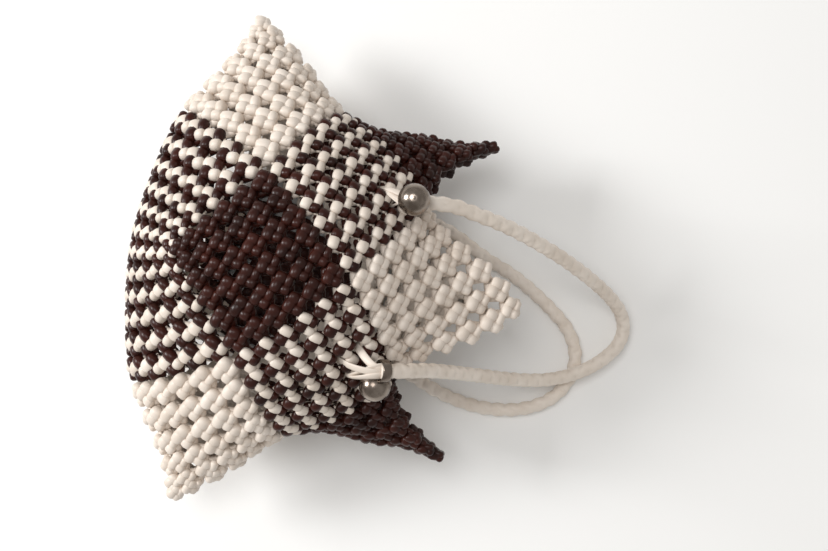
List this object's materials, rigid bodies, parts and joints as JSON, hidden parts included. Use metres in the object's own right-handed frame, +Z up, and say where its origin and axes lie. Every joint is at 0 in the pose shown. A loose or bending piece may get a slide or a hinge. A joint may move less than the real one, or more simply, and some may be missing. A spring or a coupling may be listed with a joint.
{
  "type": "beaded handbag",
  "caption": "Stiff handbag knotted in one piece from plastic cord, with a peaked mouth, pointed bottom corners and braided handles on ball rings.",
  "frame": {"origin": "on the surface that the bag lies on, under the middle of the woven body", "axes": "+X from the keel to the mouth, +Y across to the left bottom point, +Z up from the surface, as the bag lies on its back"},
  "size_m": [0.3523, 0.337, 0.1482],
  "materials": {
    "white_cord": "glossy",
    "handle_braid": "semi-gloss",
    "silver_metal": "polished"
  },
  "bodies": {
    "root": {"woven_body": "white_cord", "front_handle": "handle_braid", "back_handle": "handle_braid", "ball_ring_front_left": "silver_metal", "handle_root_front_left": "handle_braid", "ball_ring_front_right": "silver_metal", "handle_root_front_right": "handle_braid", "ball_ring_back_left": "silver_metal", "handle_root_back_left": "handle_braid", "ball_ring_back_right": "silver_metal", "handle_root_back_right": "handle_braid"}
  },
  "joints": []
}
